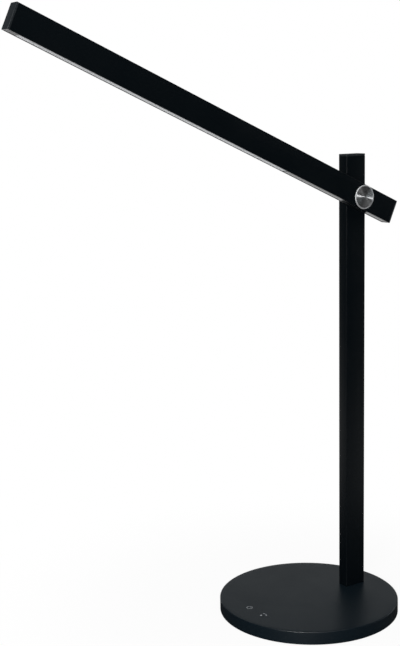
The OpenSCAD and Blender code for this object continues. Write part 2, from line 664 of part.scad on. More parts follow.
// Plug of an end cap in the arm's upper chamber, hollow like a moulding
module arm_plug() difference() {
    band(cavity_d - 2 * slip_gap, rib_high + rib_t + slip_gap, roof_z - slip_gap);
    band(cavity_d - 4, rib_high + rib_t + 2, roof_z - 2);
}

module tip_cap() color([0.05, 0.055, 0.06]) in_arm() translate([0, arm_y, 0]) {
    translate([tip_x + cap_plate_t, 0, 0]) rotate([0, -90, 0]) cap_plate(profile_w, profile_d, cap_plate_t);
    bar_x(tip_x + cap_plate_t - EPS, tip_x + cap_plate_t + cap_plug_len) arm_plug();
    bar_x(tip_x + cap_plate_t - EPS, tip_x + cap_plate_t + tongue_len) strip_section();
}

module tail_cap() color([0.05, 0.055, 0.06]) in_arm() translate([0, arm_y, 0]) {
    translate([tail_x - cap_plate_t, 0, 0]) rotate([0, 90, 0]) cap_plate(profile_w, profile_d, cap_plate_t);
    bar_x(tail_x - cap_plate_t - cap_plug_len, tail_x - cap_plate_t + EPS) arm_plug();
}

module led_board() color([0.85, 0.86, 0.86]) in_arm() translate([0, arm_y, 0])
    bar_x(led_x0, led_x1) band(cavity_d - 2 * slip_gap, led_z, led_z + led_board_t);

module led_chips() color([0.95, 0.85, 0.35]) in_arm() translate([0, arm_y, 0])
    for (i = [0:led_count - 1]) translate([led_x0 + i * led_pitch, -led_w / 2, led_z - led_t])
        cube([led_l, led_w, led_t]);

// The lead inside the arm, from the hollow stud to the diode board
lead_y = -(profile_d / 2 + lead_t);
led_end = [led_x1 - 2.5 * lead_d, arm_y, led_z + led_board_t + lead_r];
lead_turn = 5 / 3 * lead_d;                      // radius of its bend out of the stud
lead_mid = [-block_len / 2 - 8 * lead_d, arm_y, 0];
lead_down = led_end + [9 * lead_d, 0, 1.25 * lead_d];
arm_route = concat(
    [[0, -profile_d / 2 - lead_stub, 0]],
    bend([0, lead_y + lead_turn, 0], [0, -1, 0], [-1, 0, 0], lead_turn),
    [[-block_len / 2, lead_y, 0], [-block_len / 2 - 2.5 * lead_d, lead_y + lead_d / 6, 0], lead_mid],
    between(lead_mid, lead_down, 3),
    [lead_down, led_end + [4 * lead_d, 0, lead_d / 3], led_end + [2 * lead_d, 0, 0], led_end]);
module arm_lead() color([0.85, 0.85, 0.83]) in_arm() lead(arm_route, lead_r);

base_cover();
ballast_plate();
bottom_plate();
foot_pad();
base_screws();
touch_board();
touch_pads();
touch_board_screws();
driver_board();
driver_components();
driver_screws();
dc_socket();
dc_socket_pin();
power_lead();
touch_lead();
post_lead();
post_foot_block();
post_bolts();
post_tube();
post_top_cap();
post_hinge_block();
hinge_stud();
stop_washer();
spring_washer();
hinge_nut();
arm_housing();
arm_hinge_block();
hinge_bush();
hinge_disc();
tip_cap();
tail_cap();
led_board();
led_chips();
diffuser();
rear_strip();
arm_lead();
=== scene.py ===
"""Looks of the folding desk lamp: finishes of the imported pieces, and finer visible pieces."""
import bmesh
import bpy
import json
import math
from mathutils import Matrix, Vector


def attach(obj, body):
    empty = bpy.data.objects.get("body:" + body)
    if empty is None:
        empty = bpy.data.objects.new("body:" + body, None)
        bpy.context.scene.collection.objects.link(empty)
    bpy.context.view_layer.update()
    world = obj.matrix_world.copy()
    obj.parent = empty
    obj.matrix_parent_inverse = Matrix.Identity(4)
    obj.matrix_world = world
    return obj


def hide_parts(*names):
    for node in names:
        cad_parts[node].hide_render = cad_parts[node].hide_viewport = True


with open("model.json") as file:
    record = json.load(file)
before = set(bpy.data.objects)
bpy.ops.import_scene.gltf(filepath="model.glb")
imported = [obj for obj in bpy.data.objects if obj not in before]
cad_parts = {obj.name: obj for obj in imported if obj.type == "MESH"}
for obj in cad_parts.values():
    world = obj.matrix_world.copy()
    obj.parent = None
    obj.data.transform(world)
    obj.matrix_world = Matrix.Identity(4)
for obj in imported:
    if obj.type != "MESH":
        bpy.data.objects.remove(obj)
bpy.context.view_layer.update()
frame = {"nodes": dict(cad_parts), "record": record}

# ------------------------------------------------ sizes, in millimetres, as in the source
MM = 0.001
BASE_R, BASE_TOP, SKIRT_LOW = 100.0, 15.2, 1.0
SKIRT_T, COVER_T, COVER_EDGE = 2.0, 1.8, 0.9
BALLAST_TOP, BOTTOM_TOP = 9.7, 2.7
SEAT_L, SEAT_D = 34.0, 20.0
BOLT_PITCH, BOLT_R, SCREW_GAP = 16.0, 2.5, 0.2
LEAD_HOLE_R, LEAD_D = 3.0, 2.4
SOCKET_Z, SOCKET_HOLE_R = 8.05, 4.1
SCREW_RING, SCREW_BOSS_R, SCREW_R, SCREW_LEN = 84.0, 3.5, 1.5, 8.0
SCREW_SEAT, SCREW_HEAD_R, SCREW_HEAD_T = 1.2, 2.8, 0.9
KEY_X = -73.5
KEY_SCREW_Y, KEY_SCREW_R, KEY_BOSS_R, KEY_BOSS_H = 21.5, 1.0, 2.0, 0.8
POST_X, POST_TOP = 63.0, 508.2
BAR_W, BAR_D, WALL, CORNER_R = 26.0, 13.5, 1.3, 0.6
CAP_T, PLUG_L, TONGUE_L = 2.2, 8.0, 11.5
PIVOT_Z, TILT = 462.2, 24.4
ARM_Y, TIP_X, TAIL_X = -14.1, -444.0, 46.0
SEAM_X, SEAM_GAP = -105.5, 1.5
LIP_W, LIP_T, FLANGE_T, SLIDE = 0.8, 1.0, 1.0, 0.1
RIB_W, RIB_T, RIB_LOW, RIB_HIGH = 0.8, 0.7, -5.35, -3.5
LED_Z, LED_PITCH, LED_COUNT, LED_X0, LED_L, LED_W = -4.6, 10.0, 32, -426.3, 3.5, 2.8
DISC_R, DISC_FACE = 13.0, 15.3
WELL_R, BUSH_HOLE_R, STUD_HOLE_R = 8.8, 6.3, 5.1
CAVITY_W, CAVITY_D, ROOF = BAR_W - 2 * WALL, BAR_D - 2 * WALL, BAR_W / 2 - WALL

# ------------------------------------------------ sizes of the finer shapes, in millimetres
REACH = 0.2                     # by how much joined or cut bodies reach past each other
CAVITY_R = 0.4                  # inner corners of the bars, and the plugs that fit them
CAP_ROUND = 0.45                # rounded outer edge of a cap
# a cap's fine joint: how far its plate is set back at each height above its inner face
CAP_JOINT = ((0.25, 0.0), (0.25, 0.2), (0.05, 0.25), (0.0, 0.35))
STRIP_BACK = 0.2                # how far the strips lie behind the lips
DISC_RIM, DISC_CONE = 1.3, 0.6
INK_LOW, INK_HIGH = BASE_TOP - 0.01, BASE_TOP + 0.02
ROUND_END = (8, 24, 40, 56, 73)    # angles of the slices that round off a printed line

STAND, ARM = "stand", "arm"
FLOAT, VECTOR = "NodeSocketFloat", "NodeSocketVector"
MICRON = 0.000001
QUARTER = math.pi / 2


def shift(x, y, z):
    return Matrix.Translation((x, y, z))


def spin(angle, axis):
    return Matrix.Rotation(angle, 4, axis)


in_arm = shift(POST_X, 0, PIVOT_Z) @ spin(math.radians(TILT), "Y")
on_arm_bar = in_arm @ shift(0, ARM_Y, 0)


# ------------------------------------------------ node helpers
def put(tree, kind, inputs=None, **settings):
    """Adds a node; an input is a constant or another node's socket."""
    made = tree.nodes.new(kind)
    for key, value in settings.items():
        setattr(made, key, value)
    for key, value in (inputs or {}).items():
        if isinstance(value, bpy.types.NodeSocket):
            tree.links.new(value, made.inputs[key])
        else:
            made.inputs[key].default_value = value
    return made


def new_group(name, kind, inputs, outputs):
    """A node group with named sockets: (name, socket kind, default)."""
    tree = bpy.data.node_groups.new(name, kind)
    for label, socket, default in inputs:
        made = tree.interface.new_socket(label, in_out="INPUT", socket_type=socket)
        if default is not None:
            made.default_value = default
    for label, socket in outputs:
        tree.interface.new_socket(label, in_out="OUTPUT", socket_type=socket)
    return tree, tree.nodes.new("NodeGroupInput"), tree.nodes.new("NodeGroupOutput")


def ramp(tree, value, start, end, low, high):
    """Goes smoothly from low to high while the value goes from start to end."""
    return put(tree, "ShaderNodeMapRange",
               {"Value": value, "From Min": start, "From Max": end, "To Min": low, "To Max": high},
               interpolation_type="SMOOTHSTEP").outputs["Result"]


def mix_colours(tree, share, low, high):
    mix = put(tree, "ShaderNodeMix", {"Factor": share}, data_type="RGBA")
    mix.inputs[6].default_value = (*low, 1)
    mix.inputs[7].default_value = (*high, 1)
    return mix.outputs[2]


def make_grain_group():
    """Orange peel and fine grain of a coating or a moulded skin, and slow changes from handling."""
    tree, given, out = new_group("skin_grain", "ShaderNodeTree",
                                 [("Vector", VECTOR, None), ("Peel Scale", FLOAT, 500.0),
                                  ("Grain Scale", FLOAT, 2500.0), ("Peel Share", FLOAT, 0.5)],
                                 [("Height", FLOAT), ("Tone", FLOAT), ("Wear", FLOAT)])
    peel = put(tree, "ShaderNodeTexNoise", {"Vector": given.outputs["Vector"], "Detail": 1.0,
                                            "Scale": given.outputs["Peel Scale"]})
    grain = put(tree, "ShaderNodeTexNoise", {"Vector": given.outputs["Vector"], "Detail": 2.0,
                                             "Scale": given.outputs["Grain Scale"],
                                             "Roughness": 0.6})
    height = put(tree, "ShaderNodeMix", {0: given.outputs["Peel Share"], 2: grain.outputs["Fac"],
                                         3: peel.outputs["Fac"]})
    slow = put(tree, "ShaderNodeTexNoise", {"Vector": given.outputs["Vector"], "Scale": 14.0,
                                            "Detail": 4.0, "Roughness": 0.55, "Distortion": 0.4})
    wear = put(tree, "ShaderNodeMapRange", {"Value": slow.outputs["Fac"], "From Min": 0.35,
                                            "From Max": 0.7})
    tree.links.new(height.outputs[0], out.inputs["Height"])
    tree.links.new(grain.outputs["Fac"], out.inputs["Tone"])
    tree.links.new(wear.outputs["Result"], out.inputs["Wear"])
    return tree


def make_turning_group():
    """Fine rings that a lathe tool leaves on a face, about an axis along Y."""
    tree, given, out = new_group("turning_marks", "ShaderNodeTree",
                                 [("Vector", VECTOR, None), ("Rings", FLOAT, 3.0)],
                                 [("Height", FLOAT), ("Tone", FLOAT)])
    flat = put(tree, "ShaderNodeVectorMath", {0: given.outputs["Vector"], 1: (1.0, 0.0, 1.0)},
               operation="MULTIPLY")
    radius = put(tree, "ShaderNodeVectorMath", {0: flat.outputs["Vector"]}, operation="LENGTH")
    along = put(tree, "ShaderNodeMath", {0: radius.outputs["Value"], 1: given.outputs["Rings"]},
                operation="MULTIPLY")
    rings = put(tree, "ShaderNodeTexNoise", {"W": along.outputs["Value"], "Scale": 1.0,
                                             "Detail": 2.0, "Roughness": 0.7},
                noise_dimensions="1D")
    spread = put(tree, "ShaderNodeMapRange", {"Value": rings.outputs["Fac"], "From Min": 0.3,
                                              "From Max": 0.7})
    tree.links.new(spread.outputs["Result"], out.inputs["Height"])
    tree.links.new(rings.outputs["Fac"], out.inputs["Tone"])
    return tree


grain_group = make_grain_group()
turning_group = make_turning_group()


# ------------------------------------------------ finishes
def new_material(name):
    """An empty material: its tree, its Principled shader and the object's own coordinates."""
    made = bpy.data.materials.new(name)
    made.use_nodes = True
    tree = made.node_tree
    place = tree.nodes.new("ShaderNodeTexCoord").outputs["Object"]
    return made, tree, tree.nodes["Principled BSDF"], place


def surface(tree, shader, marks, colours, gloss, rough, relief):
    """Colours between two by the marks' tone, roughness by the gloss output, relief in microns."""
    tone = mix_colours(tree, marks.outputs["Tone"], *colours)
    tree.links.new(tone, shader.inputs["Base Color"])
    spread = put(tree, "ShaderNodeMapRange", {"Value": marks.outputs[gloss], "To Min": rough[0],
                                              "To Max": rough[1]})
    tree.links.new(spread.outputs["Result"], shader.inputs["Roughness"])
    bump = put(tree, "ShaderNodeBump", {"Height": marks.outputs["Height"],
                                        "Distance": relief * MICRON, "Strength": 1.0})
    tree.links.new(bump.outputs["Normal"], shader.inputs["Normal"])


def skin(name, low, high, rough, peel=500.0, grain=2500.0, peel_share=0.5, relief=40,
         specular=0.5, metallic=0.0):
    """A coated, moulded, rubber or plain metal surface, with grain and varying tone and gloss."""
    made, tree, shader, place = new_material(name)
    marks = put(tree, "ShaderNodeGroup", {"Vector": place, "Peel Scale": peel,
                                          "Grain Scale": grain, "Peel Share": peel_share},
                node_tree=grain_group)
    surface(tree, shader, marks, (low, high), "Wear", rough, relief)
    shader.inputs["Specular IOR Level"].default_value = specular
    shader.inputs["Metallic"].default_value = metallic
    return made


def turned_aluminium():
    """Turned face: rings about the hinge axis, gloss drawn out across them."""
    made, tree, shader, place = new_material("turned_aluminium")
    centred = put(tree, "ShaderNodeMapping", {"Vector": place,
                                              "Location": (-POST_X * MM, 0.0, -PIVOT_Z * MM)})
    marks = put(tree, "ShaderNodeGroup", {"Vector": centred.outputs["Vector"], "Rings": 5200.0},
                node_tree=turning_group)
    surface(tree, shader, marks, ((0.66, 0.67, 0.68), (0.87, 0.88, 0.89)), "Tone", (0.30, 0.41), 4)
    tangent = put(tree, "ShaderNodeTangent", direction_type="RADIAL", axis="Y")
    tree.links.new(tangent.outputs["Tangent"], shader.inputs["Tangent"])
    shader.inputs["Metallic"].default_value = 1.0
    shader.inputs["Anisotropic"].default_value = 1.0
    shader.inputs["Anisotropic Rotation"].default_value = 0.25
    return made


# name: darkest and lightest colour, least and most roughness, and what differs from a plain skin
SKINS = {
    "base_black": ((0.0008, 0.0046, 0.0082), (0.0016, 0.0066, 0.0110), (0.38, 0.46),
                   dict(peel=700.0, grain=3200.0, peel_share=0.3, relief=12)),
    "bar_black": ((0.0009, 0.0020, 0.0030), (0.0015, 0.0032, 0.0046), (0.32, 0.40),
                  dict(peel=420.0, grain=2200.0, peel_share=0.6, relief=10, specular=0.22)),
    "cap_black": ((0.0090, 0.0118, 0.0143), (0.0140, 0.0175, 0.0205), (0.34, 0.42),
                  dict(grain=3600.0, peel_share=0.1, relief=8)),
    "moulded_black": ((0.016, 0.016, 0.017), (0.028, 0.028, 0.030), (0.42, 0.55),
                      dict(grain=1500.0, peel_share=0.1, relief=60)),
    "pad_rubber": ((0.012, 0.012, 0.012), (0.024, 0.024, 0.024), (0.75, 0.9),
                   dict(peel=250.0, grain=900.0, peel_share=0.4, relief=200, specular=0.3)),
    "pad_grey": ((0.12, 0.12, 0.12), (0.2, 0.2, 0.2), (0.8, 0.95), dict(grain=1400.0, relief=100)),
    "opal_plastic": ((0.58, 0.60, 0.62), (0.66, 0.68, 0.70), (0.34, 0.42),
                     dict(peel=90.0, peel_share=0.8, relief=20)),
    "strip_black": ((0.0045, 0.0060, 0.0075), (0.0075, 0.0095, 0.0115), (0.16, 0.24),
                    dict(peel=120.0, grain=1800.0, peel_share=0.7, relief=10)),
    "mark_ink": ((0.26, 0.28, 0.30), (0.38, 0.40, 0.42), (0.5, 0.62),
                 dict(grain=4200.0, relief=10, specular=0.3)),
    "smooth_rim": ((0.70, 0.71, 0.72), (0.84, 0.85, 0.86), (0.62, 0.72),
                   dict(grain=3000.0, peel_share=0.1, relief=2, metallic=1.0)),
    "steel_plate": ((0.38, 0.39, 0.40), (0.55, 0.56, 0.58), (0.35, 0.55),
                    dict(peel=60.0, grain=900.0, relief=30, metallic=1.0)),
    "screw_steel": ((0.42, 0.43, 0.45), (0.60, 0.61, 0.63), (0.25, 0.4),
                    dict(relief=10, metallic=1.0)),
    "hinge_steel": ((0.45, 0.46, 0.48), (0.62, 0.63, 0.65), (0.2, 0.35),
                    dict(grain=3000.0, relief=10, metallic=1.0)),
    "block_metal": ((0.50, 0.51, 0.52), (0.68, 0.69, 0.70), (0.4, 0.55),
                    dict(peel=200.0, relief=50, metallic=1.0)),
    "contact_brass": ((0.60, 0.50, 0.28), (0.78, 0.68, 0.42), (0.22, 0.34),
                      dict(relief=5, metallic=1.0)),
    "board_green": ((0.012, 0.10, 0.05), (0.025, 0.17, 0.08), (0.3, 0.42),
                    dict(peel=150.0, relief=30)),
    "board_white": ((0.72, 0.73, 0.72), (0.82, 0.83, 0.82), (0.35, 0.48), dict(relief=20)),
    "component_black": ((0.018, 0.018, 0.019), (0.04, 0.04, 0.042), (0.45, 0.6), dict(relief=30)),
    "lead_black": ((0.012, 0.012, 0.012), (0.024, 0.024, 0.024), (0.5, 0.65), dict(relief=30)),
    "lead_white": ((0.62, 0.62, 0.60), (0.74, 0.74, 0.72), (0.5, 0.65), dict(relief=30)),
    "bush_nylon": ((0.70, 0.70, 0.67), (0.80, 0.80, 0.77), (0.4, 0.5), dict(relief=20)),
    "diode_yellow": ((0.74, 0.60, 0.16), (0.88, 0.76, 0.26), (0.3, 0.45), dict(relief=30)),
}
finish = {name: skin(name, low, high, rough, **more)
          for name, (low, high, rough, more) in SKINS.items()}
finish["turned_aluminium"] = turned_aluminium()

slot_of = {row["node"]: row["material_slot"] for row in frame["record"]["subparts"]}
for name, node in frame["nodes"].items():
    node.data.materials.clear()
    node.data.materials.append(finish[slot_of[name]])


# ------------------------------------------------ shape helpers
def rounded(corners, steps=6):
    """An outline through corners (x, y, radius), each turned on its own radius."""
    points = []
    for i, (x, y, r) in enumerate(corners):
        here = Vector((x, y))
        if not r:
            points.append(here)
            continue
        back = (Vector(corners[i - 1][:2]) - here).normalized()
        ahead = (Vector(corners[(i + 1) % len(corners)][:2]) - here).normalized()
        half = back.angle(ahead) / 2
        centre = here + (back + ahead).normalized() * (r / math.sin(half))
        first = back * (r / math.tan(half)) + here - centre
        last = ahead * (r / math.tan(half)) + here - centre
        start = math.atan2(first.y, first.x)
        turn = (math.atan2(last.y, last.x) - start + math.pi) % (2 * math.pi) - math.pi
        for k in range(steps + 1):
            a = start + turn * k / steps
            points.append(centre + Vector((math.cos(a), math.sin(a))) * r)
    return points


def box_outline(w, h, r, steps=6):
    return rounded([(w / 2, h / 2, r), (-w / 2, h / 2, r), (-w / 2, -h / 2, r), (w / 2, -h / 2, r)],
                   steps)


def circle(r, steps):
    return [Vector((r * math.cos(2 * math.pi * k / steps), r * math.sin(2 * math.pi * k / steps)))
            for k in range(steps)]


def loft(rings, ring_shape=False):
    """A closed body through rings of as many points; ring_shape joins the last to the first."""
    bm = bmesh.new()
    made = [[bm.verts.new(p) for p in ring] for ring in rings]
    pairs = list(zip(made, made[1:])) + ([(made[-1], made[0])] if ring_shape else [])
    n = len(made[0])
    for low, high in pairs:
        for k in range(n):
            bm.faces.new((low[k], low[(k + 1) % n], high[(k + 1) % n], high[k]))
    if not ring_shape:
        bm.faces.new(made[0][::-1])
        bm.faces.new(made[-1])
    bmesh.ops.recalc_face_normals(bm, faces=bm.faces)
    return bm


def along_x(outline, x):
    """An outline in Y and Z at x."""
    return [Vector((x, p.x, p.y)) for p in outline]


def along_z(outline, z, at=(0.0, 0.0)):
    return [Vector((p.x + at[0], p.y + at[1], z)) for p in outline]


def turned(profile, steps):
    """A turned body about Z through (radius, height) points."""
    return loft([along_z(circle(r, steps), z) for r, z in profile])


def gather(body, *others):
    """Bodies that stand apart, as one."""
    for other in others:
        mesh = bpy.data.meshes.new("other")
        other.to_mesh(mesh)
        other.free()
        body.from_mesh(mesh)
        bpy.data.meshes.remove(mesh)
    return body


def solid(name, bm, place=None):
    """The object of a body made in millimetres, put in its place."""
    mesh = bpy.data.meshes.new(name)
    bm.to_mesh(mesh)
    bm.free()
    if place is not None:
        mesh.transform(place)
    made = bpy.data.objects.new(name, mesh)
    bpy.context.scene.collection.objects.link(made)
    return made


def settle(piece):
    """Leaves the piece as the plain mesh that its modifiers give, without slivers."""
    bpy.context.view_layer.update()
    seen = piece.evaluated_get(bpy.context.evaluated_depsgraph_get())
    mesh = bpy.data.meshes.new_from_object(seen)
    piece.modifiers.clear()
    bm = bmesh.new()
    bm.from_mesh(mesh)
    bmesh.ops.dissolve_degenerate(bm, dist=0.001, edges=bm.edges)
    bm.to_mesh(mesh)
    bm.free()
    piece.data = mesh


def combine(piece, tool, operation):
    """Joins the tool to the piece, or cuts it out, and takes the tool away."""
    step = piece.modifiers.new("combine", "BOOLEAN")
    step.operation, step.solver, step.object = operation, "EXACT", tool
    settle(piece)
    bpy.data.objects.remove(tool)


def join(piece, tool):
    combine(piece, tool, "UNION")


def cut(piece, tool):
    combine(piece, tool, "DIFFERENCE")


def rod(r, length, place, steps=64):
    return solid("tool", turned([(r, 0.0), (r, length)], steps), place)


def dress(piece, name, slot, body, *stands_for, soft_angle=40.0, material=None):
    """To metres, with soft curves, sharp corners, finish, body and the nodes it stands for."""
    piece.name = piece.data.name = name
    piece.data.transform(Matrix.Scale(MM, 4))
    piece.data.shade_smooth()
    piece.data.set_sharp_from_angle(angle=math.radians(soft_angle))
    piece.data.materials.clear()
    piece.data.materials.append(finish[material or slot])
    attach(piece, body)
    if stands_for:
        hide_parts(*stands_for)
    return piece


# ------------------------------------------------ base
def base_cover():
    """Cover with a rounded edge, its bosses, the seat under the post and the socket's hole."""
    edge = [(BASE_R - COVER_EDGE + COVER_EDGE * math.cos(math.radians(a)),
             BASE_TOP - COVER_EDGE + COVER_EDGE * math.sin(math.radians(a)))
            for a in range(0, 91, 9)]
    inner_r, ceiling, low_r, fillet = BASE_R - SKIRT_T, BASE_TOP - COVER_T, 0.3, 0.6
    flat_r, middle_r = BASE_R - 6.0, BASE_R / 4
    profile = [(middle_r, ceiling), (inner_r - fillet, ceiling),
               (inner_r - fillet / 3, ceiling - fillet / 3), (inner_r, ceiling - fillet),
               (inner_r, SKIRT_LOW + low_r), (inner_r + low_r, SKIRT_LOW),
               (BASE_R - low_r, SKIRT_LOW), (BASE_R, SKIRT_LOW + low_r), *edge,
               (flat_r, BASE_TOP), (middle_r, BASE_TOP)]
    shell = solid("shell", turned(profile, 256))

    for k in range(4):
        a = math.radians(45 + 90 * k)
        at = shift(SCREW_RING * math.cos(a), SCREW_RING * math.sin(a), 0)
        boss_h = ceiling + REACH - BOTTOM_TOP
        join(shell, rod(SCREW_BOSS_R, boss_h, at @ shift(0, 0, BOTTOM_TOP), 32))
        cut(shell, rod(SCREW_R, SCREW_LEN, at @ shift(0, 0, BOTTOM_TOP - 0.5), 24))
    for y in (-KEY_SCREW_Y, KEY_SCREW_Y):
        at = shift(KEY_X, y, ceiling - KEY_BOSS_H)
        join(shell, rod(KEY_BOSS_R, KEY_BOSS_H + REACH, at, 24))
        cut(shell, rod(KEY_SCREW_R, KEY_BOSS_H + COVER_T / 2 + 0.1, at @ shift(0, 0, -0.1), 24))

    seat = box_outline(SEAT_L, SEAT_D, 1.0, 4)
    join(shell, solid("seat", loft([along_z(seat, z, (POST_X, 0))
                                    for z in (BALLAST_TOP, ceiling + REACH)])))
    below, through = BALLAST_TOP - 1, 20.0
    bolt_hole_r = BOLT_R + SCREW_GAP
    for x, r in ((-BOLT_PITCH / 2, bolt_hole_r), (0, LEAD_HOLE_R), (BOLT_PITCH / 2, bolt_hole_r)):
        cut(shell, rod(r, through, shift(POST_X + x, 0, below), 32))
    channel = box_outline(2 * LEAD_HOLE_R, 24.0, 0.5, 2)
    cut(shell, solid("channel", loft([along_z(channel, z, (POST_X, -12))
                                      for z in (below, BALLAST_TOP + LEAD_D + 1)])))
    cut(shell, rod(SOCKET_HOLE_R, 30.0, shift(BASE_R - 10, 0, SOCKET_Z) @ spin(QUARTER, "Y"), 48))
    return dress(shell, "base_shell", "base_black", STAND, "base_cover", soft_angle=30.0)


def stroke(points, width):
    """A flat printed line of this width through the points, with round ends."""
    last = len(points) - 1
    ways = [(points[min(i + 1, last)] - points[max(i - 1, 0)]).normalized()
            for i in range(len(points))]
    turns = [math.radians(a) for a in ROUND_END]
    slices = [(points[0] - ways[0] * (width / 2 * math.cos(a)), ways[0], math.sin(a))
              for a in turns]
    slices += [(point, way, 1.0) for point, way in zip(points, ways)]
    slices += [(points[-1] + ways[-1] * (width / 2 * math.cos(a)), ways[-1], math.sin(a))
               for a in turns[::-1]]
    rings = []
    for middle, way, share in slices:
        side = Vector((-way.y, way.x)) * (width / 2 * share)
        rings.append([Vector((*spot, z)) for spot, z in (
            (middle + side, INK_LOW), (middle - side, INK_LOW),
            (middle - side, INK_HIGH), (middle + side, INK_HIGH))])
    return loft(rings)


def arc(cx, cy, r, start, end, steps=28):
    angles = [math.radians(start + (end - start) * k / steps) for k in range(steps + 1)]
    return [Vector((cx + r * math.cos(a), cy + r * math.sin(a))) for a in angles]


def touch_marks():
    """The signs printed over the two touch keys: on and off, and brightness."""
    x, y, r, line = KEY_X - 1.0, 9.9, 3.1, 0.62
    ring = stroke(arc(x, y, r, 40, 320), line)
    bar = stroke([Vector((x + 1.4, y)), Vector((x + 3.9, y))], line)
    dress(solid("mark", gather(ring, bar)), "touch_mark_power", "base_black", STAND,
          material="mark_ink")
    x, y, r, line = KEY_X - 1.3, -15.1, 4.1, 0.78
    dot = loft([along_z(circle(1.15, 24), z, (x - 1.5, y + 0.6)) for z in (INK_LOW, INK_HIGH)])
    wave = stroke(arc(x, y, r, -58, 44, 20), line)
    dress(solid("mark", gather(dot, wave)), "touch_mark_light", "base_black", STAND,
          material="mark_ink")


# ------------------------------------------------ what repeats
def make_array_group():
    """Sets a part on the points of a circle or of a row, turned by a fixed random amount."""
    tree, given, out = new_group("set_out", "GeometryNodeTree",
                                 [("Geometry", "NodeSocketGeometry", None),
                                  ("Count", "NodeSocketInt", 4), ("Ring Radius", FLOAT, 0.0),
                                  ("First Angle", FLOAT, 0.0), ("Start", VECTOR, None),
                                  ("Step", VECTOR, None), ("Turn", FLOAT, 0.0),
                                  ("Finish", "NodeSocketMaterial", None)],
                                 [("Geometry", "NodeSocketGeometry")])
    index = put(tree, "GeometryNodeInputIndex")
    row = put(tree, "GeometryNodeMeshLine", {"Count": given.outputs["Count"],
                                             "Offset": (0.0, 0.0, 0.0)})
    share = put(tree, "ShaderNodeMath", {0: index.outputs["Index"], 1: given.outputs["Count"]},
                operation="DIVIDE")
    angle = put(tree, "ShaderNodeMath", {0: share.outputs["Value"], 1: 2 * math.pi,
                                         2: given.outputs["First Angle"]},
                operation="MULTIPLY_ADD")
    reach = put(tree, "ShaderNodeCombineXYZ", {"X": given.outputs["Ring Radius"]})
    on_ring = put(tree, "ShaderNodeVectorRotate", {"Vector": reach.outputs["Vector"],
                                                   "Angle": angle.outputs["Value"]},
                  rotation_type="Z_AXIS")
    stepped = put(tree, "ShaderNodeVectorMath", {0: given.outputs["Step"],
                                                 "Scale": index.outputs["Index"]},
                  operation="SCALE")
    from_start = put(tree, "ShaderNodeVectorMath", {0: stepped.outputs["Vector"],
                                                    1: given.outputs["Start"]}, operation="ADD")
    spot = put(tree, "ShaderNodeVectorMath", {0: from_start.outputs["Vector"],
                                              1: on_ring.outputs["Vector"]}, operation="ADD")
    spots = put(tree, "GeometryNodeSetPosition", {"Geometry": row.outputs["Mesh"],
                                                  "Position": spot.outputs["Vector"]})
    any_turn = put(tree, "FunctionNodeRandomValue", {2: 0.0, 3: given.outputs["Turn"], "Seed": 7})
    facing = put(tree, "ShaderNodeCombineXYZ", {"Z": any_turn.outputs[1]})
    parts = put(tree, "GeometryNodeInstanceOnPoints", {"Points": spots.outputs["Geometry"],
                                                       "Instance": given.outputs["Geometry"],
                                                       "Rotation": facing.outputs["Vector"]})
    real = put(tree, "GeometryNodeRealizeInstances", {"Geometry": parts.outputs["Instances"]})
    coated = put(tree, "GeometryNodeSetMaterial", {"Geometry": real.outputs["Geometry"],
                                                   "Material": given.outputs["Finish"]})
    tree.links.new(coated.outputs["Geometry"], out.inputs["Geometry"])
    return tree


array_group = make_array_group()


def set_out(part, material, **inputs):
    """Repeats the part as the tree's named inputs say and leaves a plain mesh."""
    step = part.modifiers.new("set_out", "NODES")
    step.node_group = array_group
    sockets = {socket.name: socket.identifier for socket in array_group.interface.items_tree
               if socket.in_out == "INPUT"}
    for label, value in {**inputs, "Finish": finish[material]}.items():
        step[sockets[label.replace("_", " ")]] = value
    settle(part)
    return part


def base_screws():
    """Four pan-head screws with cross recesses, their heads towards the desk."""
    r, low, face, tip = SCREW_HEAD_R, SCREW_SEAT, SCREW_SEAT - SCREW_HEAD_T, SCREW_SEAT + 7.0
    axis_r = 0.2
    screw = solid("screw", turned([(axis_r, face), (r - 0.5, face), (r - 0.15, face + 0.15),
                                   (r, face + 0.5), (r, low), (SCREW_R, low),
                                   (SCREW_R, tip - 0.6), (SCREW_R - 0.5, tip), (axis_r, tip)], 32))
    for turn in (0, QUARTER):
        blade = loft([along_z(box_outline(2.9, 0.7, 0.2, 2), face - 0.1),
                      along_z(box_outline(1.7, 0.5, 0.2, 2), low - 0.25)])
        cut(screw, solid("blade", blade, spin(turn, "Z")))
    set_out(screw, "screw_steel", Count=4, Ring_Radius=SCREW_RING, First_Angle=math.pi / 4,
            Turn=1.5)
    dress(screw, "cover_screws", "screw_steel", STAND, "base_screws")


# ------------------------------------------------ post
def plate_rings(w, d, base=0.0):
    """Outlines of a cap's plate from its inner face, with the fine joint, to its rounded face."""
    rings = [(box_outline(w - 2 * inset, d - 2 * inset, CORNER_R), base + rise)
             for inset, rise in CAP_JOINT]
    steps = 5
    for k in range(steps + 1):
        a = QUARTER * k / steps
        inset = CAP_ROUND * (1 - math.cos(a))
        rings.append((box_outline(w - 2 * inset, d - 2 * inset, CORNER_R - 0.8 * inset),
                      base + CAP_T - CAP_ROUND + CAP_ROUND * math.sin(a)))
    return rings


